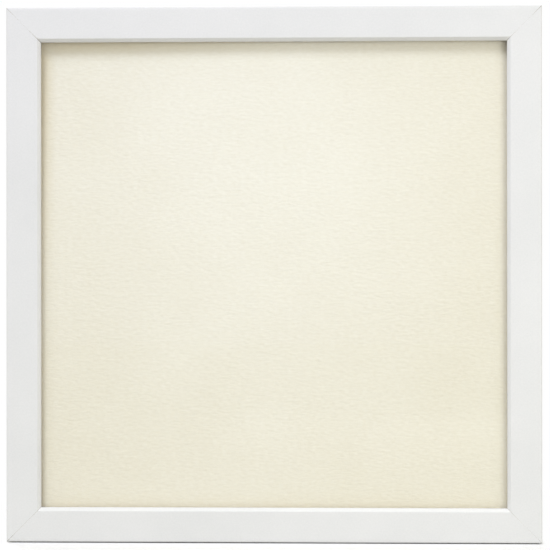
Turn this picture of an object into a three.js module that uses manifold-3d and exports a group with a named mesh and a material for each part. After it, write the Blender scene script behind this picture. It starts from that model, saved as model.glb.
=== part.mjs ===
// Box picture frame, 250 mm square: a mitred white moulding with a clear front sheet and a cream
// mount board close behind its lip, a liner that keeps the board forward, and a backing board that
// turn buttons hold in. Millimetres, +Z up, front towards -Y, origin under the middle of the frame.
import * as THREE from "three";
import { mergeVertices } from "three/addons/utils/BufferGeometryUtils.js";
import Module from "manifold-3d";

const wasm = await Module();
wasm.setup();

// Moulding
const sideLength = 250; // outside of the square frame
const railDepth = 35; // front face to back face
const faceWidth = 16; // outer edge to sight edge
const wallThickness = 9; // side wall behind the lip
const lipThickness = 3.8;
const lipChamfer = 1.5; // on the sight edge, at 45 degrees
const arrisRadius = 0.6; // round on the outer front edge
const backEase = 0.5; // small chamfers on the back edges
const mitreGlue = 0.04; // glue line between two mitred ends

// Sheets in the pocket behind the lip
const sheetClearance = 0.4; // each side, between a sheet and the pocket wall
const stackGap = 0.1; // between sheets that lie on each other
const glazingThickness = 2;
const boardThickness = 1.5;
const backingThickness = 3;
const backingCorner = 2; // radius of the backing board's corners
const linerThickness = 3;

// V-nails across the mitres
const nailThickness = 0.6;
const nailWing = 5; // from the fold to a wing's end
const nailHalfAngle = 50; // degrees from the mitre line to a wing
const nailHeight = 10;
const nailSink = 0.6; // below the back face
const nailClearance = 0.2;

// Turn buttons and their screws
const buttonSpacing = 130; // between the two buttons of one side
const buttonPivotRadius = 4.2; // round end about the screw
const buttonTipRadius = 3.2; // round end over the backing board
const buttonReach = 11; // between the centres of the two ends
const buttonThickness = 1.2;
const buttonLift = 0.8; // the tip bends this far off the board for a thumb
const buttonLiftLength = 5; // length of the bent tip
const buttonGap = 0.2; // running gap below a button and below its screw head
const screwShankRadius = 1.4;
const screwShankLength = 14;
const screwPointLength = 3;
const screwHeadRadius = 2.7;
const screwHeadHeight = 1.6;
const screwRimHeight = 0.6; // straight side of a pan head below its dome
const screwCrownRadius = 1.1; // flat of a pan head's dome
const screwClearance = 0.15; // around a shank

// Sawtooth hanger and its nails
const hangerLength = 48;
const hangerFlatHeight = 7;
const hangerToothedLength = 33;
const hangerThickness = 0.9;
const hangerStandOff = 1.6; // the toothed edge stands this far off the rail
const hangerJoggleHeight = 1.6;
const hangerFlangeHeight = 3.4;
const hangerHoleInset = 3.6; // from a strip end to its hole
const hangerTopInset = 0.8; // from the outer edge of the rail to the strip
const toothPitch = 3;
const toothDepth = 1.5;
const toothMouth = 2.4;
const toothRoot = 0.9;
const hangerNailRadius = 0.8;
const hangerNailLength = 11;
const hangerNailPoint = 1.6;
const hangerNailHeadRadius = 1.9;
const hangerNailHeadHeight = 0.7;
const hangerNailHeadEase = 0.2; // the head's rim draws in this far at its crown

// Wall bumpers
const bumperRadius = 4;
const bumperTopRadius = 2.4;
const bumperHeight = 3.5;
const bumperInset = 20; // from the corner along the bottom rail

// Facets of round pieces
const roundSides = 16; // of a turned piece
const arcSteps = 5; // of a quarter round

// Places that follow from the sizes. Depths are measured back from the front face.
const half = sideLength / 2;
const pocketSide = sideLength - 2 * wallThickness;
const sheetSide = pocketSide - 2 * sheetClearance;
const glazingDepth = lipThickness + stackGap;
const boardDepth = glazingDepth + glazingThickness + stackGap;
const linerDepth = boardDepth + boardThickness + stackGap;
const backingDepth = railDepth - backingThickness;
const linerWidth = backingDepth - stackGap - linerDepth;
const overallDepth = railDepth + stackGap + bumperHeight;
const wallCentre = wallThickness / 2 - half; // middle of the bottom rail's back face
const buttonPlaces = [-buttonSpacing / 2, buttonSpacing / 2];
const screwDepth = buttonGap + buttonThickness + buttonGap; // from the rail to under a screw head
const screwInRail = screwShankLength - screwDepth;
const hangerBack = railDepth + stackGap; // the strip's face on the rail
const hangerTop = half - hangerTopInset;
const hangerHoleX = hangerLength / 2 - hangerHoleInset;
const hangerHoleZ = hangerTop - hangerFlatHeight / 2;
const hangerHolePlaces = [-hangerHoleX, hangerHoleX];
const quarterTurn = Math.PI / 2;

const whiteFoil = new THREE.MeshStandardMaterial({ color: 0xebebe9, roughness: 0.55, metalness: 0 });
const clearSheet = new THREE.MeshStandardMaterial({
  color: 0xf4f8f7,
  roughness: 0.05,
  metalness: 0,
  transparent: true,
  opacity: 0.12,
});
const creamBoard = new THREE.MeshStandardMaterial({ color: 0xf1ecd9, roughness: 0.9, metalness: 0 });
const linerBoard = new THREE.MeshStandardMaterial({ color: 0xd9d2c0, roughness: 0.9, metalness: 0 });
const hardboard = new THREE.MeshStandardMaterial({ color: 0x8a6845, roughness: 0.8, metalness: 0 });
const platedSteel = new THREE.MeshStandardMaterial({ color: 0xc4c4c0, roughness: 0.35, metalness: 1 });
const clearRubber = new THREE.MeshStandardMaterial({ color: 0xdcdcd6, roughness: 0.3, metalness: 0 });

// A closed three.js geometry as a solid for cutting and joining.
function solidOf(geometry) {
  const bare = geometry.clone();
  bare.deleteAttribute("normal");
  bare.deleteAttribute("uv");
  const merged = mergeVertices(bare);
  return new wasm.Manifold(
    new wasm.Mesh({
      numProp: 3,
      vertProperties: merged.attributes.position.array,
      triVerts: new Uint32Array(merged.index.array),
    }),
  );
}

function geometryOf(solid) {
  const mesh = solid.getMesh();
  const geometry = new THREE.BufferGeometry();
  geometry.setAttribute("position", new THREE.BufferAttribute(mesh.vertProperties, 3));
  geometry.setIndex(new THREE.BufferAttribute(mesh.triVerts, 1));
  geometry.computeVertexNormals();
  return geometry;
}

function cut(geometry, tools) {
  const remaining = tools.reduce((solid, tool) => solid.subtract(solidOf(tool)), solidOf(geometry));
  return geometryOf(remaining);
}

// A shape drawn in x and z, given its thickness between two depths.
function slab(shape, front, back) {
  const geometry = new THREE.ExtrudeGeometry(shape, {
    depth: back - front,
    bevelEnabled: false,
    curveSegments: arcSteps,
  });
  return geometry.rotateX(quarterTurn).translate(0, back, 0);
}

function polygon(points) {
  return new THREE.Shape(points.map(([x, z]) => new THREE.Vector2(x, z)));
}

function rectangle(left, bottom, right, top) {
  return polygon([[left, bottom], [right, bottom], [right, top], [left, top]]);
}

function roundedSquare(side, radius) {
  const edge = side / 2;
  const shape = new THREE.Shape();
  shape.absarc(edge - radius, edge - radius, radius, 0, quarterTurn);
  shape.absarc(radius - edge, edge - radius, radius, quarterTurn, 2 * quarterTurn);
  shape.absarc(radius - edge, radius - edge, radius, 2 * quarterTurn, 3 * quarterTurn);
  shape.absarc(edge - radius, radius - edge, radius, 3 * quarterTurn, 4 * quarterTurn);
  return shape;
}

// A round bar along the depth, from one depth to another.
function bar(radius, x, z, front, back) {
  const geometry = new THREE.CylinderGeometry(radius, radius, back - front, roundSides);
  return geometry.translate(x, (front + back) / 2, z);
}

// A turned piece about its own depth axis, from [radius, depth] points.
function turned(points) {
  return new THREE.LatheGeometry(points.map(([r, y]) => new THREE.Vector2(r, y)), roundSides);
}

// The moulding's section: u runs in from the outer edge, v back from the front face.
function mouldingSection() {
  const section = new THREE.Shape();
  section.moveTo(faceWidth - lipChamfer, 0);
  section.lineTo(faceWidth, lipChamfer);
  section.lineTo(faceWidth, lipThickness);
  section.lineTo(wallThickness, lipThickness);
  section.lineTo(wallThickness, railDepth - backEase);
  section.lineTo(wallThickness - backEase, railDepth);
  section.lineTo(backEase, railDepth);
  section.lineTo(0, railDepth - backEase);
  section.lineTo(0, arrisRadius);
  section.absarc(arrisRadius, arrisRadius, arrisRadius, 2 * quarterTurn, 3 * quarterTurn);
  section.closePath();
  return section;
}

// The bottom rail: the section along the full side, with its ends drawn in by u for the mitres.
function railGeometry(tools) {
  const geometry = new THREE.ExtrudeGeometry(mouldingSection(), {
    depth: sideLength,
    bevelEnabled: false,
    curveSegments: arcSteps,
  });
  const place = geometry.attributes.position;
  const endTrim = mitreGlue * Math.SQRT1_2; // along the rail, half of the glue line at each end
  for (let i = 0; i < place.count; i += 1) {
    const inset = place.getX(i) + endTrim;
    const along = place.getZ(i);
    place.setZ(i, along < half ? inset : sideLength - inset);
  }
  geometry.rotateY(-quarterTurn).translate(half, 0, -half);
  return cut(geometry, tools);
}

// A V-nail at the lower left corner, folded on the mitre line with a wing in each rail.
function nailShape(thickness, wing) {
  const angle = THREE.MathUtils.degToRad(nailHalfAngle);
  const foldShift = thickness / 2 / Math.sin(angle);
  const foldPlace = wallThickness / Math.SQRT2 - (nailWing * Math.cos(angle)) / 2;
  const mitre = ([along, across]) => [
    (foldPlace + along - across) * Math.SQRT1_2 - half,
    (foldPlace + along + across) * Math.SQRT1_2 - half,
  ];
  const wingEnd = (side, offset) => [
    wing * Math.cos(angle) - offset * Math.sin(angle),
    side * (wing * Math.sin(angle) + offset * Math.cos(angle)),
  ];
  const outline = [
    [-foldShift, 0],
    wingEnd(-1, thickness / 2),
    wingEnd(-1, -thickness / 2),
    [foldShift, 0],
    wingEnd(1, -thickness / 2),
    wingEnd(1, thickness / 2),
  ];
  return polygon(outline.map(mitre));
}

function vNailGeometry() {
  const back = railDepth - nailSink;
  return slab(nailShape(nailThickness, nailWing), back - nailHeight, back);
}

// The saw-thin slots that two V-nails leave in the ends of one rail.
function nailSlots() {
  const shape = nailShape(nailThickness + 2 * nailClearance, nailWing + nailClearance);
  const bottom = railDepth - nailSink - nailHeight - nailClearance;
  const slot = slab(shape, bottom, railDepth + nailSink);
  return [slot, slot.clone().rotateY(-quarterTurn)];
}

function pilotHole(x, z, shankRadius, shankLength) {
  const bottom = railDepth - shankLength - screwClearance;
  return bar(shankRadius + screwClearance, x, z, bottom, railDepth + screwClearance);
}

function screwHoles() {
  return buttonPlaces.map((x) => pilotHole(x, wallCentre, screwShankRadius, screwInRail));
}

// A turn button on the bottom rail, its pivot at the origin, its tip up over the backing board.
function buttonGeometry() {
  const lean = Math.asin((buttonPivotRadius - buttonTipRadius) / buttonReach);
  const outline = new THREE.Shape();
  outline.absarc(0, 0, buttonPivotRadius, 2 * quarterTurn - lean, 4 * quarterTurn + lean);
  outline.absarc(0, buttonReach, buttonTipRadius, lean, 2 * quarterTurn - lean);
  const hole = new THREE.Path();
  hole.absarc(0, 0, screwShankRadius + screwClearance, 0, 4 * quarterTurn, true);
  outline.holes.push(hole);

  const top = buttonReach + buttonTipRadius;
  const bend = top - buttonLiftLength;
  const under = railDepth + buttonGap;
  const side = new THREE.Shape();
  side.moveTo(-buttonPivotRadius, under);
  side.lineTo(bend, under);
  side.quadraticCurveTo((bend + top) / 2, under, top, under + buttonLift);
  side.lineTo(top, under + buttonLift + buttonThickness);
  side.quadraticCurveTo((bend + top) / 2, under + buttonThickness, bend, under + buttonThickness);
  side.lineTo(-buttonPivotRadius, under + buttonThickness);
  side.closePath();

  const width = 2 * buttonPivotRadius;
  const bentStrip = new THREE.ExtrudeGeometry(side, {
    depth: width,
    bevelEnabled: false,
    curveSegments: arcSteps,
  });
  bentStrip.translate(0, 0, -width / 2).rotateY(-quarterTurn);
  const plate = slab(outline, under, under + buttonLift + buttonThickness);
  return geometryOf(solidOf(bentStrip).intersect(solidOf(plate)));
}

// A pan-head screw through a turn button, pointing into the rail.
function screwGeometry() {
  const underHead = railDepth + screwDepth;
  const tip = underHead - screwShankLength;
  const profile = [
    [0, tip],
    [screwShankRadius, tip + screwPointLength],
    [screwShankRadius, underHead],
    [screwHeadRadius, underHead],
  ];
  for (let i = 0; i <= arcSteps; i += 1) {
    const angle = (i / arcSteps) * quarterTurn;
    profile.push([
      screwCrownRadius + (screwHeadRadius - screwCrownRadius) * Math.cos(angle),
      underHead + screwRimHeight + (screwHeadHeight - screwRimHeight) * Math.sin(angle),
    ]);
  }
  profile.push([0, underHead + screwHeadHeight]);
  return turned(profile);
}

// The hanger: a flat strip whose middle is set out from the rail and cut into teeth below.
function hangerGeometry() {
  const outward = hangerBack + hangerThickness;
  const flatEnd = hangerTop - hangerFlatHeight;
  const flangeTop = flatEnd - hangerJoggleHeight;
  const flangeEnd = flangeTop - hangerFlangeHeight;
  const flat = rectangle(-hangerLength / 2, flatEnd, hangerLength / 2, hangerTop);
  const section = polygon([
    [hangerTop, hangerBack],
    [flatEnd, hangerBack],
    [flangeTop, hangerBack + hangerStandOff],
    [flangeEnd, hangerBack + hangerStandOff],
    [flangeEnd, outward + hangerStandOff],
    [flangeTop, outward + hangerStandOff],
    [flatEnd, outward],
    [hangerTop, outward],
  ]);
  const middle = new THREE.ExtrudeGeometry(section, { depth: hangerToothedLength, bevelEnabled: false });
  middle.translate(0, 0, -hangerToothedLength / 2).rotateY(-quarterTurn);

  const notch = polygon([
    [-toothMouth / 2, flangeEnd - toothDepth],
    [toothMouth / 2, flangeEnd - toothDepth],
    [toothMouth / 2, flangeEnd],
    [toothRoot / 2, flangeEnd + toothDepth],
    [-toothRoot / 2, flangeEnd + toothDepth],
    [-toothMouth / 2, flangeEnd],
  ]);
  const reach = Math.floor((hangerToothedLength / 2 - toothMouth / 2) / toothPitch);
  const notches = [];
  for (let i = -reach; i <= reach; i += 1) {
    const tool = slab(notch, hangerBack, outward + hangerStandOff + hangerThickness);
    notches.push(tool.translate(i * toothPitch, 0, 0));
  }
  const holeRadius = hangerNailRadius + screwClearance;
  const holes = hangerHolePlaces.map((x) =>
    bar(holeRadius, x, hangerHoleZ, hangerBack - hangerThickness, outward + hangerThickness),
  );
  const strip = solidOf(slab(flat, hangerBack, outward)).add(solidOf(middle));
  return cut(geometryOf(strip), [...notches, ...holes]);
}

function hangerNailGeometry() {
  const underHead = hangerBack + hangerThickness + stackGap;
  const tip = underHead - hangerNailLength;
  return turned([
    [0, tip],
    [hangerNailRadius, tip + hangerNailPoint],
    [hangerNailRadius, underHead],
    [hangerNailHeadRadius, underHead],
    [hangerNailHeadRadius - hangerNailHeadEase, underHead + hangerNailHeadHeight],
    [0, underHead + hangerNailHeadHeight],
  ]);
}

function hangerNailHoles() {
  const depthInRail = hangerNailLength - hangerThickness - 2 * stackGap;
  return hangerHolePlaces.map((x) => pilotHole(x, -hangerHoleZ, hangerNailRadius, depthInRail));
}

// A clear domed pad with a flat crown that meets the wall.
function bumperGeometry() {
  const base = railDepth + stackGap;
  const profile = [[0, base], [bumperRadius, base]];
  for (let i = 1; i <= arcSteps; i += 1) {
    const angle = (i / arcSteps) * quarterTurn;
    profile.push([
      bumperTopRadius + (bumperRadius - bumperTopRadius) * Math.cos(angle),
      base + bumperHeight * Math.sin(angle),
    ]);
  }
  profile.push([0, base + bumperHeight]);
  return turned(profile);
}

// A named piece with a material of its own, in the given finish.
function part(name, geometry, finish) {
  const mesh = new THREE.Mesh(geometry, finish.clone());
  mesh.name = name;
  return mesh;
}

// Inside the frame group, x and z are measured from the middle of the opening.
const frame = new THREE.Group();
frame.position.set(0, -overallDepth / 2, half);

const sheet = rectangle(-sheetSide / 2, -sheetSide / 2, sheetSide / 2, sheetSide / 2);
frame.add(part("glazing", slab(sheet, glazingDepth, glazingDepth + glazingThickness), clearSheet));
frame.add(part("mount_board", slab(sheet, boardDepth, boardDepth + boardThickness), creamBoard));
const backing = slab(roundedSquare(sheetSide, backingCorner), backingDepth, railDepth);
frame.add(part("backing_board", backing, hardboard));

// The four sides are the bottom one turned about the middle of the opening.
["bottom", "left", "top", "right"].forEach((name, turn) => {
  const side = new THREE.Group();
  side.rotation.y = turn * quarterTurn;
  frame.add(side);

  const hangerSide = name === "top";
  const tools = [...nailSlots(), ...screwHoles(), ...(hangerSide ? hangerNailHoles() : [])];
  side.add(part(`rail_${name}`, railGeometry(tools), whiteFoil));
  side.add(part(`v_nail_${turn + 1}`, vNailGeometry(), platedSteel));

  const between = name === "left" || name === "right"; // these liners stand between the other two
  const linerHalf = sheetSide / 2 - (between ? linerThickness + stackGap : 0);
  const linerFoot = -sheetSide / 2;
  const liner = rectangle(-linerHalf, linerFoot, linerHalf, linerFoot + linerThickness);
  side.add(part(`liner_${name}`, slab(liner, linerDepth, linerDepth + linerWidth), linerBoard));

  buttonPlaces.forEach((x, i) => {
    const button = part(`turn_button_${name}_${i + 1}`, buttonGeometry(), platedSteel);
    const screw = part(`button_screw_${name}_${i + 1}`, screwGeometry(), platedSteel);
    button.position.set(x, 0, wallCentre);
    screw.position.set(x, 0, wallCentre);
    side.add(button, screw);
  });
});

frame.add(part("sawtooth_hanger", hangerGeometry(), platedSteel));
[-1, 1].forEach((way) => {
  const label = way < 0 ? "left" : "right";
  const nail = part(`hanger_nail_${label}`, hangerNailGeometry(), platedSteel);
  nail.position.set(way * hangerHoleX, 0, hangerHoleZ);
  const bumper = part(`wall_bumper_${label}`, bumperGeometry(), clearRubber);
  bumper.position.set(way * (half - bumperInset), 0, wallCentre);
  frame.add(nail, bumper);
});

const root = new THREE.Group();
root.add(frame);

export default root;
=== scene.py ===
# Square white box picture frame: foil-wrapped rails, glass, a crinkled cream board, hardware on the back
import math

import bmesh
import bpy
from mathutils import Matrix, Vector, noise


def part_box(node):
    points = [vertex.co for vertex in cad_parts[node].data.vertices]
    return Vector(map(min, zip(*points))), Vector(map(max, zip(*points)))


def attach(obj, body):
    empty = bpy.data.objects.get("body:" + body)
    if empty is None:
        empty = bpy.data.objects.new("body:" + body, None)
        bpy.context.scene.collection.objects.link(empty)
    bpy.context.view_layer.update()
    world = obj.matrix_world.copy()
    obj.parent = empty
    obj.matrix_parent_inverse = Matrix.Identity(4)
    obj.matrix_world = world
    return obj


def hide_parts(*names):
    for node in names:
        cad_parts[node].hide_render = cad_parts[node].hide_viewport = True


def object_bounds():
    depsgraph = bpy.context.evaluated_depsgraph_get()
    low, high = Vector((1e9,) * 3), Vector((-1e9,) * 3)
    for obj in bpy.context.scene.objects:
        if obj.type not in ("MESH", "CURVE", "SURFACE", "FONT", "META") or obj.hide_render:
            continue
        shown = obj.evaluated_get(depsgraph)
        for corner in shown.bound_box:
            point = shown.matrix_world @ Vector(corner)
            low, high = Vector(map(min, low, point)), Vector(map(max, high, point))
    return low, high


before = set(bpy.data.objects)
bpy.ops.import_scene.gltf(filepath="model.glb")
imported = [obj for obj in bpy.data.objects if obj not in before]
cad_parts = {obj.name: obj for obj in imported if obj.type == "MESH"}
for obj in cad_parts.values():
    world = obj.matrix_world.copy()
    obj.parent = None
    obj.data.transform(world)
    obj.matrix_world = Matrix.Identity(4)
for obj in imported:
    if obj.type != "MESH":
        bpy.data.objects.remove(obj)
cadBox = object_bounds()

mm = 0.001  # sizes below are in millimetres unless a note says metres
halfSide = cadBox[1].x
middle = Vector((0, 0, cadBox[1].z / 2))
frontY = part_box("rail_bottom")[0].y
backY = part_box("rail_bottom")[1].y
sides = ["bottom", "left", "top", "right"]  # each is the bottom one turned a quarter further


# Small helpers

def linear(hexColour):
    parts = [int(hexColour[i:i + 2], 16) / 255 for i in (1, 3, 5)]
    return tuple(c / 12.92 if c <= 0.04045 else ((c + 0.055) / 1.055) ** 2.4 for c in parts) + (1.0,)


def connect(tree, node, links):
    for key, source in links.items():
        tree.links.new(source, node.inputs[key])


def addNode(tree, kind, settings=None, links=None):
    node = tree.nodes.new("ShaderNode" + kind)
    for key, value in (settings or {}).items():
        if isinstance(key, str) and hasattr(node, key):
            setattr(node, key, value)
        else:
            node.inputs[key].default_value = value
    connect(tree, node, links or {})
    return node


def newMaterial(name, settings):
    material = bpy.data.materials.new(name)
    material.use_nodes = True
    tree = material.node_tree
    shader = tree.nodes["Principled BSDF"]
    for key, value in settings.items():
        shader.inputs[key].default_value = value
    coords = addNode(tree, "TexCoord").outputs["Object"]
    return material, tree, shader, coords


def perMetre(sizeMm):
    return 1 / (sizeMm * mm)


def sideTurn(side):
    turn = Matrix.Rotation(sides.index(side) * math.pi / 2, 4, "Y")
    return Matrix.Translation(middle) @ turn @ Matrix.Translation(-middle)


def nodeCentre(node):
    low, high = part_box(node)
    return (low + high) / 2


def shadeByAngle(bm, sharpDegrees):
    bmesh.ops.recalc_face_normals(bm, faces=bm.faces)
    limit = math.radians(sharpDegrees)
    flat = bm.faces.layers.int.get("flat")
    for face in bm.faces:
        face.smooth = not (flat and face[flat])
    for edge in bm.edges:
        edge.smooth = len(edge.link_faces) == 2 and edge.calc_face_angle(0) < limit


def addPiece(name, bm, materials, body, node, sharpDegrees=32):
    shadeByAngle(bm, sharpDegrees)
    mesh = bpy.data.meshes.new(name)
    bm.to_mesh(mesh)
    bm.free()
    for material in materials:
        mesh.materials.append(material)
    piece = bpy.data.objects.new(name, mesh)
    bpy.context.collection.objects.link(piece)
    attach(piece, body)
    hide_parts(node)


def bridgeRings(bm, rings, closed=True):
    # quads between rings that have the same number of points
    for low, high in zip(rings, rings[1:]):
        count = len(low)
        for i in range(count if closed else count - 1):
            j = (i + 1) % count
            bm.faces.new((low[i], low[j], high[j], high[i]))


def turnedMesh(profile, centre, steps=48):
    # a turned shape about the depth axis; profile holds (radius, depth behind centre) in mm, axis to axis
    bm = bmesh.new()
    rings = []
    for radius, depth in profile[1:-1]:
        ring = []
        for i in range(steps):
            a = 2 * math.pi * i / steps
            offset = Vector((radius * math.cos(a), depth, radius * math.sin(a))) * mm
            ring.append(bm.verts.new(centre + offset))
        rings.append(ring)
    bridgeRings(bm, rings)
    for ring, beside, end in ((rings[0], profile[1], profile[0]), (rings[-1], profile[-2], profile[-1])):
        if math.isclose(beside[1], end[1], abs_tol=1e-6):  # a flat end is one face
            bm.faces.new(ring)
            continue
        tip = bm.verts.new(centre + Vector((0, end[1], 0)) * mm)
        for i in range(steps):
            bm.faces.new((ring[i], ring[(i + 1) % steps], tip))
    return bm


def prism(bm, outline, front, back, skin):
    # closed prism over an outline of (x, z) points in metres, between two depths
    near = [bm.verts.new((x, front, z)) for x, z in outline]
    far = [bm.verts.new((x, back, z)) for x, z in outline]
    faces = [bm.faces.new(near), bm.faces.new(far)]
    for i in range(len(near)):
        j = (i + 1) % len(near)
        faces.append(bm.faces.new((near[i], near[j], far[j], far[i])))
    for face in faces:
        face.material_index = skin


sliver = 5e-7  # metres; an edge that a cut leaves shorter than this is closed up


def carve(bm, cutter):
    # takes the cutter's solids out of the mesh
    holders = []
    for part in (bm, cutter):
        bmesh.ops.recalc_face_normals(part, faces=part.faces)
        mesh = bpy.data.meshes.new("carveMesh")
        part.to_mesh(mesh)
        part.free()
        holder = bpy.data.objects.new("carveHolder", mesh)
        bpy.context.collection.objects.link(holder)
        holders.append(holder)
    cut = holders[0].modifiers.new("cut", "BOOLEAN")
    cut.operation = "DIFFERENCE"
    cut.solver = "EXACT"
    cut.object = holders[1]
    graph = bpy.context.evaluated_depsgraph_get()
    result = bmesh.new()
    result.from_mesh(holders[0].evaluated_get(graph).data)
    bmesh.ops.dissolve_degenerate(result, dist=sliver, edges=result.edges)
    for holder in holders:
        mesh = holder.data
        bpy.data.objects.remove(holder)
        bpy.data.meshes.remove(mesh)
    return result


easing = {"weldMm": 0.001, "flatDegrees": 1, "sharpDegrees": 35, "segments": 2}


def easedCopy(node, easeMm):
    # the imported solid's own shape with its sharp edges rounded
    bm = bmesh.new()
    bm.from_mesh(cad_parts[node].data)
    bmesh.ops.remove_doubles(bm, verts=bm.verts, dist=easing["weldMm"] * mm)
    bmesh.ops.dissolve_limit(bm, angle_limit=math.radians(easing["flatDegrees"]),
                             verts=bm.verts, edges=bm.edges)
    limit = math.radians(easing["sharpDegrees"])
    sharp = [e for e in bm.edges if len(e.link_faces) == 2 and e.calc_face_angle(0) > limit]
    flat = bm.faces.layers.int.new("flat")
    for face in bm.faces:
        face[flat] = 1
    eased = bmesh.ops.bevel(bm, geom=sharp, offset=easeMm * mm, segments=easing["segments"], profile=0.5,
                            affect="EDGES", clamp_overlap=True)
    for face in eased["faces"]:
        face[flat] = 0
    return bm


# Materials

noiseSpan = {"From Min": 0.3, "From Max": 0.7}  # most values of a noise texture lie between these


def letLampsThrough(tree, shader):
    # lamp light and bounced light pass straight through a clear piece, so it casts no dark shadow
    path = addNode(tree, "LightPath")
    lampRay = addNode(tree, "Math", {"operation": "MAXIMUM"},
                      {0: path.outputs["Is Shadow Ray"], 1: path.outputs["Is Diffuse Ray"]})
    clear = addNode(tree, "BsdfTransparent")
    through = addNode(tree, "MixShader", {},
                      {0: lampRay.outputs[0], 1: shader.outputs[0], 2: clear.outputs[0]})
    connect(tree, tree.nodes["Material Output"], {"Surface": through.outputs[0]})


# Matt lacquered paper foil: flat white, a faint cloud in its tone and a very fine roller peel
foil = {"low": "#e5e6e5", "high": "#efefee", "cloudMm": 32, "peelMm": 0.8,
        "rough": {"To Min": 0.46, "To Max": 0.58}, "bump": {"Strength": 0.25, "Distance": 0.02 * mm}}
whiteFoil, tree, shader, coords = newMaterial("matt white paper foil", {"IOR": 1.47})
cloud = addNode(tree, "TexNoise", {"Scale": perMetre(foil["cloudMm"]), "Detail": 4}, {"Vector": coords})
peel = addNode(tree, "TexNoise", {"Scale": perMetre(foil["peelMm"]), "Detail": 2}, {"Vector": coords})
grain = addNode(tree, "Math", {"operation": "SUBTRACT", 1: 0.5}, {0: peel.outputs["Fac"]})
mixed = addNode(tree, "Math", {"operation": "ADD", "use_clamp": True},
                {0: cloud.outputs["Fac"], 1: grain.outputs[0]})
tone = addNode(tree, "Mix", {"data_type": "RGBA", 6: linear(foil["low"]), 7: linear(foil["high"])},
               {0: mixed.outputs[0]})
gloss = addNode(tree, "MapRange", {**noiseSpan, **foil["rough"]}, {"Value": peel.outputs["Fac"]})
bump = addNode(tree, "Bump", foil["bump"], {"Height": peel.outputs["Fac"]})
connect(tree, shader, {"Base Color": tone.outputs[2], "Roughness": gloss.outputs[0], "Normal": bump.outputs[0]})

# Medium-density fibreboard, sawn: tan, fine pale and dark fibres, dry
board = {"dark": "#a5875f", "pale": "#c9ae86", "fibreMm": 0.45, "cloudMm": 12, "cloudShare": 0.35,
         "spread": {"From Min": 0.45, "From Max": 0.9}, "bump": {"Strength": 0.5, "Distance": 0.05 * mm}}
rawBoard, tree, shader, coords = newMaterial("sawn fibreboard", {"Roughness": 0.88, "IOR": 1.45})
fibre = addNode(tree, "TexNoise", {"Scale": perMetre(board["fibreMm"]), "Detail": 5, "Roughness": 0.7},
                {"Vector": coords})
cloud = addNode(tree, "TexNoise", {"Scale": perMetre(board["cloudMm"]), "Detail": 2}, {"Vector": coords})
both = addNode(tree, "Math", {"operation": "MULTIPLY_ADD", 1: board["cloudShare"]},
               {0: cloud.outputs["Fac"], 2: fibre.outputs["Fac"]})
spread = addNode(tree, "MapRange", board["spread"], {"Value": both.outputs[0]})
tone = addNode(tree, "Mix", {"data_type": "RGBA", 6: linear(board["dark"]), 7: linear(board["pale"])},
               {0: spread.outputs[0]})
bump = addNode(tree, "Bump", board["bump"], {"Height": fibre.outputs["Fac"]})
connect(tree, shader, {"Base Color": tone.outputs[2], "Normal": bump.outputs[0]})

# Cut end of the foil at a mitre: the fibreboard shows as a thin dull line
cutEdge = {"dark": "#8f8775", "pale": "#b9b2a0", "fibreMm": 0.9}
mitreEdge, tree, shader, coords = newMaterial("cut foil edge", {"Roughness": 0.9, "IOR": 1.45})
fibre = addNode(tree, "TexNoise", {"Scale": perMetre(cutEdge["fibreMm"]), "Detail": 3}, {"Vector": coords})
tone = addNode(tree, "Mix", {"data_type": "RGBA", 6: linear(cutEdge["dark"]), 7: linear(cutEdge["pale"])},
               {0: fibre.outputs["Fac"]})
connect(tree, shader, {"Base Color": tone.outputs[2]})

# Crinkle-embossed mount board: chalky cream paper; painted light makes it palest above its middle, painted
# shade makes it darker and yellower away from there, and a painted shadow browns the rim under the lip, most at
# the upper left
cream = {
    # painted light and shade: the first colour is where the light is painted brightest, the second is painted
    # shade mixed with random mottle, the third is painted shadow along the rim
    "pale": "#fcf9ec", "shadeAndMottle": "#ede7d3", "rimShadowTone": "#e4d5ae",
    "litMiddleAt": (-0.012, 0.185), "lightPoolReach": (0.17, 0.21),  # metres across and up
    "paintedLightFalloff": {"To Min": 0.2, "To Max": 0.9},
    "cloudMm": 40, "blotch": {"To Min": -0.1, "To Max": 0.1},
    "fleckMm": (2.2, 0.8), "mottle": {"To Min": -0.17, "To Max": 0.17},
    # painted shadow: a band this far out from the middle, where the lip's shadow falls, deepest towards the
    # upper left
    "rim": {"From Min": 0.101, "From Max": 0.110},  # metres out from the middle
    "upLeft": {"From Min": 0.215, "From Max": 0.315, "To Min": 0.12, "To Max": 0.6},  # from metres to a share
    "wrinkleMm": (3.1, 1.3), "fibreMm": 0.6, "fibreShare": 0.2,
    "bump": {"Strength": 0.9, "Distance": 0.23 * mm},
}
creamBoard, tree, shader, coords = newMaterial("crinkle embossed cream board", {"Roughness": 0.92, "IOR": 1.4})
cloud = addNode(tree, "TexNoise", {"Scale": perMetre(cream["cloudMm"]), "Detail": 3}, {"Vector": coords})
across, up = (perMetre(size) for size in cream["wrinkleMm"])
stretched = addNode(tree, "Mapping", {"Scale": (across, across, up)}, {"Vector": coords})
wrinkle = addNode(tree, "TexNoise", {"Scale": 1.0, "Detail": 2, "Distortion": 0.3},
                  {"Vector": stretched.outputs[0]})
across, up = (perMetre(size) for size in cream["fleckMm"])
laid = addNode(tree, "Mapping", {"Scale": (across, across, up)}, {"Vector": coords})
fleck = addNode(tree, "TexNoise", {"Scale": 1.0, "Detail": 1}, {"Vector": laid.outputs[0]})
fibre = addNode(tree, "TexNoise", {"Scale": perMetre(cream["fibreMm"]), "Detail": 3}, {"Vector": coords})
(litX, litZ), (reachX, reachZ) = cream["litMiddleAt"], cream["lightPoolReach"]
oval = addNode(tree, "Mapping", {"Location": (-litX / reachX, 0, -litZ / reachZ),
                                 "Scale": (1 / reachX, 0, 1 / reachZ)}, {"Vector": coords})
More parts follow.
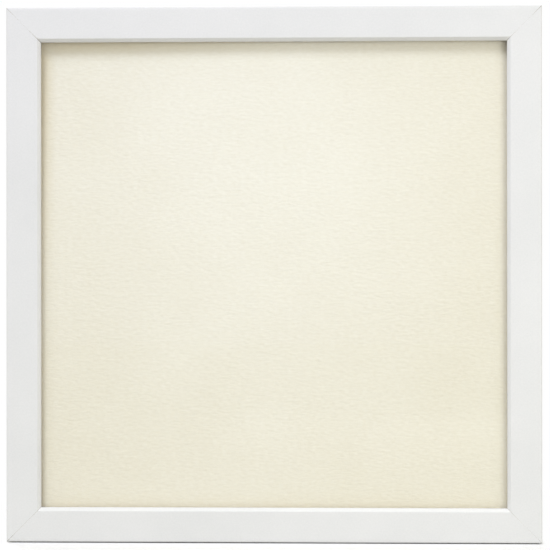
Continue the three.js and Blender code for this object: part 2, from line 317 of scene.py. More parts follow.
apart = addNode(tree, "VectorMath", {"operation": "LENGTH"}, {0: oval.outputs[0]})
# painted light: brightest in the oval above the middle, painted shade further out
paintedLightFalloff = addNode(tree, "MapRange", {"interpolation_type": "SMOOTHSTEP", **cream["paintedLightFalloff"]},
                 {"Value": apart.outputs["Value"]})
blotch = addNode(tree, "MapRange", {**noiseSpan, **cream["blotch"]}, {"Value": cloud.outputs["Fac"]})
mottle = addNode(tree, "MapRange", {**noiseSpan, **cream["mottle"]}, {"Value": fleck.outputs["Fac"]})
both = addNode(tree, "Math", {"operation": "ADD"}, {0: blotch.outputs[0], 1: mottle.outputs[0]})
shadeAndMottle = addNode(tree, "Math", {"operation": "ADD", "use_clamp": True},
               {0: paintedLightFalloff.outputs[0], 1: both.outputs[0]})
tone = addNode(tree, "Mix", {"data_type": "RGBA", 6: linear(cream["pale"]), 7: linear(cream["shadeAndMottle"])},
               {0: shadeAndMottle.outputs[0]})
centred = addNode(tree, "VectorMath", {"operation": "SUBTRACT", 1: middle}, {0: coords})
outward = addNode(tree, "VectorMath", {"operation": "ABSOLUTE"}, {0: centred.outputs[0]})
parts = addNode(tree, "SeparateXYZ", {}, {0: outward.outputs[0]})
furthest = addNode(tree, "Math", {"operation": "MAXIMUM"}, {0: parts.outputs["X"], 1: parts.outputs["Z"]})
# painted shadow: a darker, browner band along the rim where the lip shades the board, strongest at the upper
# left
rim = addNode(tree, "MapRange", {"interpolation_type": "SMOOTHSTEP", **cream["rim"]},
              {"Value": furthest.outputs[0]})
upLeft = addNode(tree, "VectorMath", {"operation": "DOT_PRODUCT", 1: (-1, 0, 1)}, {0: coords})
share = addNode(tree, "MapRange", cream["upLeft"], {"Value": upLeft.outputs["Value"]})
rimShadowShare = addNode(tree, "Math", {"operation": "MULTIPLY"}, {0: rim.outputs[0], 1: share.outputs[0]})
rimShadowed = addNode(tree, "Mix", {"data_type": "RGBA", 7: linear(cream["rimShadowTone"])},
                 {0: rimShadowShare.outputs[0], 6: tone.outputs[2]})
height = addNode(tree, "Math", {"operation": "MULTIPLY_ADD", 1: cream["fibreShare"]},
                 {0: fibre.outputs["Fac"], 2: wrinkle.outputs["Fac"]})
bump = addNode(tree, "Bump", cream["bump"], {"Height": height.outputs[0]})
connect(tree, shader, {"Base Color": rimShadowed.outputs[2], "Normal": bump.outputs[0]})

# Grey card: cut strips, soft grey-brown with recycled specks
card = {"dark": "#b3aa98", "pale": "#d6cfbf", "speckMm": 0.6, "spread": {"From Min": 0.35, "From Max": 0.65},
        "bump": {"Strength": 0.3, "Distance": 0.04 * mm}}
greyCard, tree, shader, coords = newMaterial("cut grey card", {"Roughness": 0.9, "IOR": 1.4})
speck = addNode(tree, "TexNoise", {"Scale": perMetre(card["speckMm"]), "Detail": 4, "Roughness": 0.7},
                {"Vector": coords})
spread = addNode(tree, "MapRange", card["spread"], {"Value": speck.outputs["Fac"]})
tone = addNode(tree, "Mix", {"data_type": "RGBA", 6: linear(card["dark"]), 7: linear(card["pale"])},
               {0: spread.outputs[0]})
bump = addNode(tree, "Bump", card["bump"], {"Height": speck.outputs["Fac"]})
connect(tree, shader, {"Base Color": tone.outputs[2], "Normal": bump.outputs[0]})

# Hardboard, pressed smooth: warm brown, felted fibres with a few dark bark flecks, a dull burnished sheen
hard = {
    "tones": ((0.42, "#644a31"), (0.6, "#7d5e40"), (0.8, "#93724e")),
    "fibreMm": 0.8, "cloudMm": 34, "cloudShare": 0.2,
    "fleckMm": 2.4, "bark": {"From Min": 0.62, "From Max": 0.72, "To Max": -0.2},
    "rough": {"To Min": 0.5, "To Max": 0.72}, "bump": {"Strength": 0.35, "Distance": 0.05 * mm},
}
hardboard, tree, shader, coords = newMaterial("pressed hardboard", {"IOR": 1.5})
fibre = addNode(tree, "TexNoise", {"Scale": perMetre(hard["fibreMm"]), "Detail": 6, "Roughness": 0.75,
                                   "Distortion": 0.7}, {"Vector": coords})
fleck = addNode(tree, "TexNoise", {"Scale": perMetre(hard["fleckMm"]), "Detail": 2, "Distortion": 2.2},
                {"Vector": coords})
bark = addNode(tree, "MapRange", hard["bark"], {"Value": fleck.outputs["Fac"]})
cloud = addNode(tree, "TexNoise", {"Scale": perMetre(hard["cloudMm"]), "Detail": 3}, {"Vector": coords})
felt = addNode(tree, "Math", {"operation": "MULTIPLY_ADD", 1: hard["cloudShare"]},
               {0: cloud.outputs["Fac"], 2: fibre.outputs["Fac"]})
both = addNode(tree, "Math", {"operation": "ADD"}, {0: felt.outputs[0], 1: bark.outputs[0]})
ramp = addNode(tree, "ValToRGB", {}, {"Fac": both.outputs[0]})
stops = ramp.color_ramp.elements  # has two to begin with
for i, (place, colour) in enumerate(hard["tones"]):
    stop = stops[i] if i < 2 else stops.new(place)
    stop.position = place
    stop.color = linear(colour)
gloss = addNode(tree, "MapRange", {**noiseSpan, **hard["rough"]}, {"Value": fibre.outputs["Fac"]})
bump = addNode(tree, "Bump", hard["bump"], {"Height": fibre.outputs["Fac"]})
connect(tree, shader, {"Base Color": ramp.outputs[0], "Roughness": gloss.outputs[0], "Normal": bump.outputs[0]})

# Zinc-plated steel, stamped: silvery, slightly blue, cloudy plating and fine tumbling marks
zinc = {"dark": "#a9acae", "pale": "#cdd0d1", "cloudMm": 3.0, "markMm": 0.35,
        "rough": {"To Min": 0.26, "To Max": 0.46}, "bump": {"Strength": 0.2, "Distance": 0.02 * mm}}
zincSteel, tree, shader, coords = newMaterial("zinc-plated steel", {"Metallic": 1.0})
cloud = addNode(tree, "TexNoise", {"Scale": perMetre(zinc["cloudMm"]), "Detail": 4}, {"Vector": coords})
marks = addNode(tree, "TexNoise", {"Scale": perMetre(zinc["markMm"]), "Detail": 3, "Distortion": 2.0},
                {"Vector": coords})
tone = addNode(tree, "Mix", {"data_type": "RGBA", 6: linear(zinc["dark"]), 7: linear(zinc["pale"])},
               {0: cloud.outputs["Fac"]})
gloss = addNode(tree, "MapRange", {**noiseSpan, **zinc["rough"]}, {"Value": marks.outputs["Fac"]})
bump = addNode(tree, "Bump", zinc["bump"], {"Height": marks.outputs["Fac"]})
connect(tree, shader, {"Base Color": tone.outputs[2], "Roughness": gloss.outputs[0], "Normal": bump.outputs[0]})

# Cold-drawn bright steel: greyer than the plating, mottled from drawing, a little dulled
nail = {"dark": "#7f8182", "pale": "#abadae", "mottleMm": 0.5, "rough": {"To Min": 0.3, "To Max": 0.55}}
nailSteel, tree, shader, coords = newMaterial("bright drawn steel", {"Metallic": 1.0})
mottle = addNode(tree, "TexNoise", {"Scale": perMetre(nail["mottleMm"]), "Detail": 4}, {"Vector": coords})
tone = addNode(tree, "Mix", {"data_type": "RGBA", 6: linear(nail["dark"]), 7: linear(nail["pale"])},
               {0: mottle.outputs["Fac"]})
gloss = addNode(tree, "MapRange", nail["rough"], {"Value": mottle.outputs["Fac"]})
connect(tree, shader, {"Base Color": tone.outputs[2], "Roughness": gloss.outputs[0]})

# Float glass: clear, faint green in its thickness, a trace of haze from wiping
pane = {"tint": "#fdfefd", "hazeMm": 18,
        "rough": {"From Min": 0.4, "From Max": 0.7, "To Min": 0.0, "To Max": 0.015}}
clearGlass, tree, shader, coords = newMaterial("clear float glass", {
    "Base Color": linear(pane["tint"]), "Transmission Weight": 1.0, "IOR": 1.5})
haze = addNode(tree, "TexNoise", {"Scale": perMetre(pane["hazeMm"]), "Detail": 3}, {"Vector": coords})
gloss = addNode(tree, "MapRange", pane["rough"], {"Value": haze.outputs["Fac"]})
connect(tree, shader, {"Roughness": gloss.outputs[0]})
letLampsThrough(tree, shader)

# Cast clear polyurethane: water-clear gel with a soft skin and tiny bubbles
gel = {"tint": "#f4f7f4", "bubbleMm": 0.6, "rough": {"To Min": 0.06, "To Max": 0.18}}
clearGel, tree, shader, coords = newMaterial("cast clear polyurethane", {
    "Base Color": linear(gel["tint"]), "Transmission Weight": 1.0, "IOR": 1.49})
bubble = addNode(tree, "TexNoise", {"Scale": perMetre(gel["bubbleMm"]), "Detail": 2}, {"Vector": coords})
gloss = addNode(tree, "MapRange", {**noiseSpan, **gel["rough"]}, {"Value": bubble.outputs["Fac"]})
connect(tree, shader, {"Roughness": gloss.outputs[0]})
letLampsThrough(tree, shader)
print("materials:", len(bpy.data.materials))


# Mitred rails

moulding = {
    "side": 250.0, "depth": 35.0, "face": 16.0, "wall": 9.0, "lip": 3.8,
    "chamfer": 1.5, "chamferRound": 0.55, "sightRound": 0.25, "sightEase": 0.15,
    "arris": 0.6, "backEase": 0.5,
    "foilLap": 5.6,  # foil turned onto the back
    "foilStep": 0.12,
    "glue": 0.01,  # a mitred end stops this far short of the corner's diagonal
    "arrisSteps": 8, "faceSteps": 12, "chamferSteps": 5, "sightSteps": 4,
}
# how far each mitre has opened, in mm: all along, towards the sight edge, towards the outer corner
mitreOpen = {
    "bottomLeft": (0.024, 0.05, 0.07),
    "topLeft": (0.003, 0.15, 0.085),
    "topRight": (0.003, 0.08, 0.12),
    "bottomRight": (0.003, 0.06, 0.04),
}
mitreReach = {"inner": 0.45, "outer": 0.4, "power": 1.5}  # shares of the face that open further
corners = list(mitreOpen)
foilSkin, boardSkin, edgeSkin = 0, 1, 2


def railSection():
    m = moulding
    points = []  # u in from the outer edge, v back from the front, and the skin of the strip that starts here

    def arc(cu, cv, radius, start, stop, steps):
        for i in range(steps + 1):
            a = math.radians(start + (stop - start) * i / steps)
            points.append((cu + radius * math.cos(a), cv + radius * math.sin(a), foilSkin))

    points.append((0, m["depth"] - m["backEase"], foilSkin))
    points.append((0, m["depth"] / 2, foilSkin))
    arc(m["arris"], m["arris"], m["arris"], 180, 270, m["arrisSteps"])
    tangent = math.tan(math.pi / 8)  # of half the chamfer's 45 degrees
    flatEnd = m["face"] - m["chamfer"] - m["chamferRound"] * tangent
    for i in range(1, m["faceSteps"]):
        points.append((m["arris"] + (flatEnd - m["arris"]) * i / m["faceSteps"], 0, foilSkin))
    arc(flatEnd, m["chamferRound"], m["chamferRound"], 270, 315, m["chamferSteps"])
    arc(m["face"] - m["sightRound"], m["chamfer"] + m["sightRound"] * tangent, m["sightRound"], 315, 360,
        m["sightSteps"])
    points.append((m["face"], m["lip"] - m["sightEase"], foilSkin))
    points.append((m["face"] - m["sightEase"], m["lip"], boardSkin))
    points.append((m["wall"], m["lip"], boardSkin))
    points.append((m["wall"], m["depth"] - m["backEase"], boardSkin))
    points.append((m["wall"] - m["backEase"], m["depth"] - m["foilStep"], boardSkin))
    points.append((m["foilLap"], m["depth"] - m["foilStep"], edgeSkin))
    points.append((m["foilLap"], m["depth"], foilSkin))
    points.append((m["backEase"], m["depth"], foilSkin))
    return points


def mitreGap(corner, u):
    whole, inner, outer = mitreOpen[corner]
    face, reach = moulding["face"], mitreReach
    near = max(0.0, min(1.0, 1 - (face - u) / (reach["inner"] * face)))
    far = max(0.0, min(1.0, 1 - u / (reach["outer"] * face)))
    return whole + inner * near ** reach["power"] + outer * far ** reach["power"]


# the slot's wings are a little longer than the nail's
nailSlot = {"thickness": 1.0, "wing": 5.2, "nailWing": 5.0, "halfAngle": 50.0, "depth": 10.8}


def nailOutline():
    # the V at the lower left corner, folded on the mitre line
    s = nailSlot
    angle = math.radians(s["halfAngle"])
    fold = moulding["wall"] / math.sqrt(2) - s["nailWing"] * math.cos(angle) / 2
    half = s["thickness"] / 2

    def wingTip(way, offset):
        return (s["wing"] * math.cos(angle) - offset * math.sin(angle),
                way * (s["wing"] * math.sin(angle) + offset * math.cos(angle)))

    points = [(-half / math.sin(angle), 0), wingTip(-1, half), wingTip(-1, -half),
              (half / math.sin(angle), 0), wingTip(1, -half), wingTip(1, half)]
    root = math.sqrt(0.5)
    return [((fold + a - c) * root * mm - halfSide, (fold + a + c) * root * mm) for a, c in points]


pilot = {"radius": 1.55, "depth": 12.6, "nailRadius": 0.95, "nailDepth": 10.0, "steps": 24}
cutPast = 1.0  # every cutter comes this far out of the back


def railCutter(side):
    # V-nail slots at both ends, and pilot holes for what is screwed or nailed on
    bm = bmesh.new()
    outline = nailOutline()
    slotEnd, outside = backY - nailSlot["depth"] * mm, backY + cutPast * mm
    prism(bm, outline, slotEnd, outside, boardSkin)
    turned = Matrix.Rotation(-math.pi / 2, 4, "Y")
    other = [middle + turned @ (Vector((x, 0, z)) - middle) for x, z in outline]
    prism(bm, [(p.x, p.z) for p in other], slotEnd, outside, boardSkin)
    back = sideTurn(side).inverted()
    holes = [(f"button_screw_{side}_{n}", pilot["radius"], pilot["depth"]) for n in (1, 2)]
    if side == "top":
        holes += [(f"hanger_nail_{way}", pilot["nailRadius"], pilot["nailDepth"]) for way in ("left", "right")]
    for node, radius, depth in holes:
        centre = back @ nodeCentre(node)
        ring = []
        for i in range(pilot["steps"]):
            a = 2 * math.pi * i / pilot["steps"]
            ring.append((centre.x + radius * mm * math.cos(a), centre.z + radius * mm * math.sin(a)))
        prism(bm, ring, backY - depth * mm, outside, boardSkin)
    return bm


def railMesh(side):
    m = moulding
    section = railSection()
    count = len(section)
    half = m["side"] / 2
    place = sideTurn(side)
    index = sides.index(side)
    ends = [(-1, corners[index]), (1, corners[index - 1])]
    bm = bmesh.new()
    rings = []
    for way, corner in ends:
        lip, full = [], []
        for i, (u, v, skin) in enumerate(section):
            before, after = section[i - 1], section[(i + 1) % count]
            tangent = Vector((after[0] - before[0], after[1] - before[1])).normalized()
            gap = mitreGap(corner, u)
            inU, inV = u - tangent.y * gap, v + tangent.x * gap  # drawn in across the skin
            lip.append((way * (half - m["glue"] - inU), inV, inU))
            full.append((way * (half - m["glue"] - gap - u), v, u))
        rings += [lip, full] if way < 0 else [full, lip]
    vertRings = []
    for ring in rings:
        vertRings.append([bm.verts.new(Vector((x * mm, frontY + v * mm, u * mm))) for x, v, u in ring])
    bridgeRings(bm, vertRings)
    bm.faces.ensure_lookup_table()
    for strip in range(3):
        for i in range(count):
            skin = section[i][2]
            shown = edgeSkin if strip != 1 and skin == foilSkin else skin
            bm.faces[strip * count + i].material_index = shown
    for ring in (vertRings[0], vertRings[-1]):
        bm.faces.new(ring).material_index = boardSkin
    bm = carve(bm, railCutter(side))
    bmesh.ops.transform(bm, matrix=place, verts=bm.verts)
    return bm


for side in sides:
    addPiece(f"{side}Rail", railMesh(side), [whiteFoil, rawBoard, mitreEdge], "frame",
             f"rail_{side}", sharpDegrees=28)
print("rails: 4 mitred, foil-wrapped")


# Glass, board, backing

glazing = {"seam": 0.3}
addPiece("glassPane", easedCopy("glazing", glazing["seam"]), [clearGlass], "frame", "glazing")

embossed = {
    "stepAcross": 1.7, "stepUp": 0.55, "relief": 0.06, "length": 7.0, "pitch": 2.2,
    "drift": 30.0, "wander": 1.3, "fadeDrift": 37.5, "strength": 0.65, "fading": 0.35,
    "fineAcross": 2.3, "fineUp": 1.7, "fineShare": 0.3,  # the finer wrinkles between the long ones
    "layers": (3.1, 0.0, 7.7, 11.0),  # where wander, long, fine and fade are read in the noise
}
# how far each upper corner has drawn back from the glass, and the reach of that across and down, in mm
curl = {"left": (1.28, 110.0, 70.0), "right": (1.25, 9.0, 20.0), "falloff": 1.5,
        "hidden": 6.5}  # the rim behind the lip, all of it drawn back alike


def wrinkleDepth(x, z):
    # long flat wrinkles that run mostly sideways, wander and die out
    e = embossed
    wanderLayer, longLayer, fineLayer, fadeLayer = e["layers"]
    wander = noise.noise(Vector((x / e["drift"], z / e["drift"], wanderLayer))) * e["wander"]
    wave = noise.noise(Vector((x / e["length"], (z + wander) / e["pitch"], longLayer)))
    fine = noise.noise(Vector((x / e["length"] * e["fineAcross"], (z - wander) / e["pitch"] * e["fineUp"],
                               fineLayer)))
    fade = noise.noise(Vector((x / e["fadeDrift"], z / e["fadeDrift"], fadeLayer)))
    both = (1 - e["fineShare"]) * wave + e["fineShare"] * fine
    return e["relief"] * (e["strength"] + e["fading"] * fade) * (1 + both) / 2


def cornerCurl(fromLeft, fromRight, fromTop):
    drawn = 0.0
    for fromSide, way in ((fromLeft, "left"), (fromRight, "right")):
        depth, across, down = curl[way]
        inward = max(0.0, fromSide - curl["hidden"]) / across
        below = max(0.0, fromTop - curl["hidden"]) / down
        drawn += depth * (max(0.0, 1 - inward) * max(0.0, 1 - below)) ** curl["falloff"]
    return drawn


def mountBoardMesh():
    low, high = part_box("mount_board")
    e = embossed
    width, height = (high.x - low.x) / mm, (high.z - low.z) / mm
    columns = round(width / e["stepAcross"])
    rows = round(height / e["stepUp"])
    bm = bmesh.new()
    grid = []
    for r in range(rows + 1):
        z = height * r / rows
        line = []
        for c in range(columns + 1):
            x = width * c / columns
            depth = wrinkleDepth(x, z) + cornerCurl(x, width - x, height - z)
            line.append(bm.verts.new((low.x + x * mm, low.y + depth * mm, low.z + z * mm)))
        grid.append(line)
    bridgeRings(bm, grid, closed=False)
    rim = grid[0][:-1] + [line[-1] for line in grid[:-1]]
    rim += grid[-1][:0:-1] + [line[0] for line in grid[:0:-1]]
    behind = [bm.verts.new((v.co.x, high.y, v.co.z)) for v in rim]
    bridgeRings(bm, [rim, behind])
    bm.faces.new(behind)
    return bm


addPiece("creamMountBoard", mountBoardMesh(), [creamBoard], "frame", "mount_board",
         sharpDegrees=50)

backing = {"ease": 0.35}
addPiece("hardboardBacking", easedCopy("backing_board", backing["ease"]), [hardboard], "frame",
         "backing_board")

for side in sides:  # the card strips in the pocket and the V-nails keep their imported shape
    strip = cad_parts[f"liner_{side}"]
    strip.data.materials.clear()
    strip.data.materials.append(greyCard)
    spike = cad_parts[f"v_nail_{sides.index(side) + 1}"]
    spike.data.materials.clear()
    spike.data.materials.append(nailSteel)
print("sheets: glass, board, backing, liners; V-nails")


# Turn buttons and their screws

button = {"pivot": 4.2, "tip": 3.2, "reach": 11.0, "thickness": 1.2, "lift": 0.8, "liftLength": 5.0,
          "hole": 1.55, "holeEase": 0.2, "roll": 0.32, "rollSteps": 5, "burr": 0.08, "gap": 0.2,
          "arcSteps": 26, "rings": 7}


def buttonOutline(inset):
    b = button
    lean = math.asin((b["pivot"] - b["tip"]) / b["reach"])
    points = []
    for centre, radius, start, stop in ((0, b["pivot"], math.pi - lean, 2 * math.pi + lean),
                                        (b["reach"], b["tip"], lean, math.pi - lean)):
        for i in range(b["arcSteps"] + 1):
            a = start + (stop - start) * i / b["arcSteps"]
            points.append((math.cos(a) * (radius - inset), centre + math.sin(a) * (radius - inset)))
    return points


def buttonMesh():
    # x across, y off the back, z towards the tip, about the pivot
    b = button
    outer = buttonOutline(0)

    def holeRing(radius, y):
        ring = []
        for x, z in outer:
            a = math.atan2(z, x)
            ring.append((radius * math.cos(a), y, radius * math.sin(a)))
        return ring

    def outlineRing(inset, y):
        return [(x, y, z) for x, z in buttonOutline(inset)]

    def between(inner, rim, share):
        return [tuple(p + (q - p) * share for p, q in zip(a, c)) for a, c in zip(inner, rim)]

    top = b["thickness"]
    lowHole, lowRim = holeRing(b["hole"], 0), outlineRing(b["burr"], 0)
    highRim, highHole = outlineRing(b["roll"], top), holeRing(b["hole"] + b["holeEase"], top)
    rings = [lowHole] + [between(lowHole, lowRim, i / b["rings"]) for i in range(1, b["rings"])]
    rings += [lowRim, outlineRing(0, b["burr"])]
    for i in range(b["rollSteps"]):
        a = math.pi / 2 * i / b["rollSteps"]
        rings.append(outlineRing(b["roll"] * (1 - math.cos(a)), top - b["roll"] * (1 - math.sin(a))))
    rings.append(highRim)
    rings += [between(highRim, highHole, i / b["rings"]) for i in range(1, b["rings"])]
    rings += [highHole, holeRing(b["hole"], top - b["holeEase"])]
    bend = b["reach"] + b["tip"] - b["liftLength"]
    bm = bmesh.new()
    made = []
    for ring in rings:
        verts = []
        for x, y, z in ring:
            rise = b["lift"] * max(0.0, (z - bend) / b["liftLength"]) ** 2
            verts.append(bm.verts.new(Vector((x, y + rise, z)) * mm))
        made.append(verts)
    bridgeRings(bm, made + [made[0]])
    return bm


screw = {"shank": 1.4, "length": 14.0, "point": 3.0, "head": 2.7, "height": 1.6, "rim": 0.6, "crown": 1.1,
         "edge": 0.1, "steps": 8, "slotWidth": 0.62, "slotReach": 1.55, "slotDepth": 1.0,
         "taper": 0.55, "flare": 1.2, "toolRise": 0.5}  # how the driver widens from its tip to above the head


def screwProfile():
    s = screw
    points = [(0, -s["length"]), (s["shank"], s["point"] - s["length"]), (s["shank"], 0),
              (s["head"] - s["edge"], 0), (s["head"], s["edge"])]
    for i in range(s["steps"] + 1):
        a = math.pi / 2 * i / s["steps"]
        points.append((s["crown"] + (s["head"] - s["crown"]) * math.cos(a),
                       s["rim"] + (s["height"] - s["rim"]) * math.sin(a)))
    return points + [(0, s["height"])]


def crossTool(centre, turn):
    # tapered four-point driver
    s = screw
    w, r = s["slotWidth"] / 2, s["slotReach"]
    star = [(w, r), (w, w), (r, w), (r, -w), (w, -w), (w, -r),
            (-w, -r), (-w, -w), (-r, -w), (-r, w), (-w, w), (-w, r)]
    bm = bmesh.new()
    rings = []
    for depth, size in ((s["height"] - s["slotDepth"], s["taper"]), (s["height"] + s["toolRise"], s["flare"])):
        ring = []
        for x, z in star:
            across = x * math.cos(turn) - z * math.sin(turn)
            along = x * math.sin(turn) + z * math.cos(turn)
            ring.append(bm.verts.new(centre + Vector((across * size, depth, along * size)) * mm))
        rings.append(ring)
    bridgeRings(bm, rings)
    for ring in rings:
        bm.faces.new(ring)
    return bm


driverTurns = [0.3, 1.1, 0.7, 0.15, 0.95, 0.5, 1.35, 0.8]  # where each recess stopped when driven home
buttonUnder = backY + button["gap"] * mm
headUnder = buttonUnder + (button["thickness"] + button["gap"]) * mm
for quarter, side in enumerate(sides):
    for n in (1, 2):
        pivot = nodeCentre(f"button_screw_{side}_{n}")
        bm = buttonMesh()
        turn = Matrix.Rotation(quarter * math.pi / 2, 4, "Y")
        bmesh.ops.transform(bm, verts=bm.verts,
                            matrix=Matrix.Translation((pivot.x, buttonUnder, pivot.z)) @ turn)
        addPiece(f"{side}Button{n}", bm, [zincSteel], f"button_{side}_{n}",
                 f"turn_button_{side}_{n}")
        seat = Vector((pivot.x, headUnder, pivot.z))
        bm = carve(turnedMesh(screwProfile(), seat), crossTool(seat, driverTurns[2 * quarter + n - 1]))
        addPiece(f"{side}ButtonScrew{n}", bm, [zincSteel], "frame", f"button_screw_{side}_{n}")
print("turn buttons: 8, with 8 screws")


# Hanger, its nails and the wall bumpers

hanger = {"ease": 0.12}
addPiece("sawtoothHanger", easedCopy("sawtooth_hanger", hanger["ease"]), [zincSteel], "frame",
         "sawtooth_hanger")

hangerNail = {"shank": 0.8, "point": 1.6, "length": 11.0, "head": 1.9, "height": 0.7, "rim": 0.15,
              "crownTurn": 0.8, "crownPower": 0.8, "steps": 6}
for way in ("left", "right"):
    h = hangerNail
    low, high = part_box(f"hanger_nail_{way}")
    seat = Vector(((low.x + high.x) / 2, high.y - h["height"] * mm, (low.z + high.z) / 2))
    profile = [(0, -h["length"]), (h["shank"], h["point"] - h["length"]), (h["shank"], 0), (h["head"], 0)]
    for i in range(h["steps"] + 1):
        a = math.pi / 2 * i / h["steps"]
        profile.append((h["head"] * math.cos(a * h["crownTurn"]),
                        h["rim"] + (h["height"] - h["rim"]) * math.sin(a) ** h["crownPower"]))
    profile.append((0, h["height"]))
    addPiece(f"{way}HangerNail", turnedMesh(profile, seat), [nailSteel], "frame",
             f"hanger_nail_{way}")

bumper = {"radius": 4.0, "crown": 2.4, "height": 3.5, "foot": 0.15, "skirt": 0.25, "steps": 10}
for way in ("left", "right"):
    b = bumper
    low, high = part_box(f"wall_bumper_{way}")
    seat = Vector(((low.x + high.x) / 2, low.y, (low.z + high.z) / 2))
    profile = [(0, 0), (b["radius"] - b["foot"], 0), (b["radius"], b["skirt"])]
    for i in range(1, b["steps"] + 1):
        a = math.pi / 2 * i / b["steps"]
        profile.append((b["crown"] + (b["radius"] - b["crown"]) * math.cos(a),
                        b["skirt"] + (b["height"] - b["skirt"]) * math.sin(a)))
    profile.append((0, b["height"]))
    addPiece(f"{way}WallBumper", turnedMesh(profile, seat), [clearGel], "frame",
             f"wall_bumper_{way}")
print("hanger, nails and bumpers done")


# Floor, light, camera

# Uncoated table paper: flat white with a slight grain, seen brighter than the light it throws back
stage = {
    "seen": "#fdfdfd", "mirrored": "#ececeb", "bounce": "#bcbcba",
    "grainMm": 4.0, "bump": {"Strength": 0.02, "Distance": 0.02 * mm},
    "under": 0.4,  # the paper sags this far below the lower rail
    # in metres: half its side, where it runs out into plain white, and where it does so at the sides,
    # by the frame and further back; at the sides this white is painted light over the frame's own cast shadow
    "reach": 3.0, "fade": {"From Min": 0.15, "From Max": 0.36},
    "sideNear": (0.1225, 0.1275), "sideFar": (0.03, 0.15), "sideDepth": {"From Min": 0.02, "From Max": 0.12},
}
floorWhite, tree, shader, coords = newMaterial("matt white table paper",
                                               {"Roughness": 0.95, "Specular IOR Level": 0.2})
path = addNode(tree, "LightPath")
sharp = addNode(tree, "Math", {"operation": "MAXIMUM"},
                {0: path.outputs["Is Glossy Ray"], 1: path.outputs["Is Transmission Ray"]})
soft = addNode(tree, "Mix", {"data_type": "RGBA", 6: linear(stage["bounce"]), 7: linear(stage["mirrored"])},
               {0: sharp.outputs[0]})
tone = addNode(tree, "Mix", {"data_type": "RGBA", 7: linear(stage["seen"])},
               {0: path.outputs["Is Camera Ray"], 6: soft.outputs[2]})
grain = addNode(tree, "TexNoise", {"Scale": perMetre(stage["grainMm"]), "Detail": 2}, {"Vector": coords})
bump = addNode(tree, "Bump", stage["bump"], {"Height": grain.outputs["Fac"]})
connect(tree, shader, {"Base Color": tone.outputs[2], "Normal": bump.outputs[0]})
away = addNode(tree, "VectorMath", {"operation": "LENGTH"}, {0: coords})
fade = addNode(tree, "MapRange", {"interpolation_type": "SMOOTHSTEP", **stage["fade"]},
               {"Value": away.outputs["Value"]})
# painted light: beside the frame the floor shows plain white to the camera, over the frame's own cast shadow
# there
parts = addNode(tree, "SeparateXYZ", {}, {0: coords})
beside = addNode(tree, "Math", {"operation": "ABSOLUTE"}, {0: parts.outputs["X"]})
ends = []
for near, far in zip(stage["sideNear"], stage["sideFar"]):
    ends.append(addNode(tree, "MapRange", {**stage["sideDepth"], "To Min": near, "To Max": far},
                        {"Value": parts.outputs["Y"]}).outputs[0])
sideShadowWhiteout = addNode(tree, "MapRange", {"interpolation_type": "SMOOTHSTEP"},
                   {"Value": beside.outputs[0], "From Min": ends[0], "From Max": ends[1]})
most = addNode(tree, "Math", {"operation": "MAXIMUM"}, {0: fade.outputs[0], 1: sideShadowWhiteout.outputs[0]})
plain = addNode(tree, "Math", {"operation": "MULTIPLY"}, {0: most.outputs[0], 1: path.outputs["Is Camera Ray"]})
white = addNode(tree, "Emission", {"Color": (1, 1, 1, 1), "Strength": 1.0})
runOut = addNode(tree, "MixShader", {}, {0: plain.outputs[0], 1: shader.outputs[0], 2: white.outputs[0]})
connect(tree, tree.nodes["Material Output"], {"Surface": runOut.outputs[0]})
floorMesh = bpy.data.meshes.new("floor")
reach, level = stage["reach"], -stage["under"] * mm
floorCorners = [(x * reach, y * reach, level) for x, y in ((-1, -1), (1, -1), (1, 1), (-1, 1))]
floorMesh.from_pydata(floorCorners, [], [(0, 1, 2, 3)])
floorMesh.materials.append(floorWhite)
floor = bpy.data.objects.new("floor", floorMesh)
bpy.context.collection.objects.link(floor)

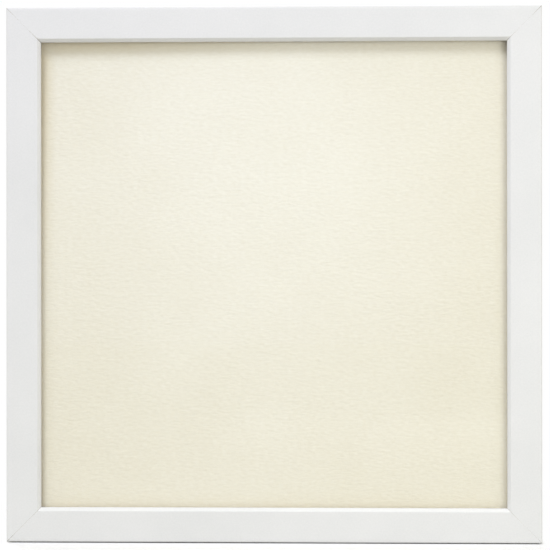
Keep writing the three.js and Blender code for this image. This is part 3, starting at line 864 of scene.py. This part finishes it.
# even, slightly warm light from all round; the tent's walls mirror as plain white
tentLight = {"colour": "#fffaea", "strength": 0.6, "mirrored": 0.8}
world = bpy.data.worlds.new("white tent")
bpy.context.scene.world = world
world.use_nodes = True
tree = world.node_tree
tent = tree.nodes["Background"]
tent.inputs["Strength"].default_value = tentLight["strength"]
tent.inputs["Color"].default_value = linear(tentLight["colour"])
path = addNode(tree, "LightPath")
sharp = addNode(tree, "Math", {"operation": "MAXIMUM"},
                {0: path.outputs["Is Glossy Ray"], 1: path.outputs["Is Transmission Ray"]})
walls = addNode(tree, "Background", {"Color": (1, 1, 1, 1), "Strength": tentLight["mirrored"]})
around = addNode(tree, "MixShader", {}, {0: sharp.outputs[0], 1: tent.outputs[0], 2: walls.outputs[0]})
backdrop = addNode(tree, "Background", {"Color": (1, 1, 1, 1), "Strength": 1.0})
sky = addNode(tree, "MixShader", {},
              {0: path.outputs["Is Camera Ray"], 1: around.outputs[0], 2: backdrop.outputs[0]})
connect(tree, tree.nodes["World Output"], {"Surface": sky.outputs[0]})

# cool daylight from the upper left
keySun = {"colour": "#f4faff", "strength": 1.286, "elevation": 48.5, "azimuth": -18.0, "softness": 20.0}
sun = bpy.data.lights.new("softKey", "SUN")
sun.color = linear(keySun["colour"])[:3]
sun.energy = keySun["strength"]
sun.angle = math.radians(keySun["softness"])
sunLamp = bpy.data.objects.new("softKey", sun)
bpy.context.collection.objects.link(sunLamp)
sunLamp.rotation_euler = (math.radians(90 - keySun["elevation"]), 0, math.radians(keySun["azimuth"]))

panels = {  # place, width in metres, watts, colour
    "lowRightPanel": ((0.45, -0.8, 0.22), 0.4, 1.8, "#ffffff"),
    "coolTopPanel": ((-0.2, -0.35, 0.62), 0.35, 0.42, "#9191ff"),
    "backPanel": ((-0.45, 1.0, 0.38), 0.6, 6.5, "#ffffff"),
}
for name, (place, width, watts, colour) in panels.items():
    panel = bpy.data.lights.new(name, "AREA")
    panel.color = linear(colour)[:3]
    panel.size = width
    panel.energy = watts
    lamp = bpy.data.objects.new(name, panel)
    bpy.context.collection.objects.link(lamp)
    lamp.location = place
    lamp.visible_glossy = lamp.visible_transmission = False  # the glass mirrors the tent, not the lamp
    lamp.rotation_euler = (middle - Vector(place)).to_track_quat("-Z", "Y").to_euler()

viewpoint = {"place": (0.0349, -1.0193, 0.1233), "pan": 1.949, "tilt": 0.086, "roll": 0.043,
             "lens": 140.45, "sensor": 36, "near": 0.01}
lens = bpy.data.cameras.new("frontCamera")
lens.sensor_width = viewpoint["sensor"]
lens.lens = viewpoint["lens"]
lens.clip_start = viewpoint["near"]
camera = bpy.data.objects.new("frontCamera", lens)
bpy.context.collection.objects.link(camera)
camera.location = viewpoint["place"]
camera.rotation_euler = (math.radians(90 + viewpoint["tilt"]), math.radians(viewpoint["roll"]),
                         math.radians(viewpoint["pan"]))
bpy.context.scene.camera = camera
bpy.context.scene.view_settings.view_transform = "Standard"
print("stage, light and camera set")
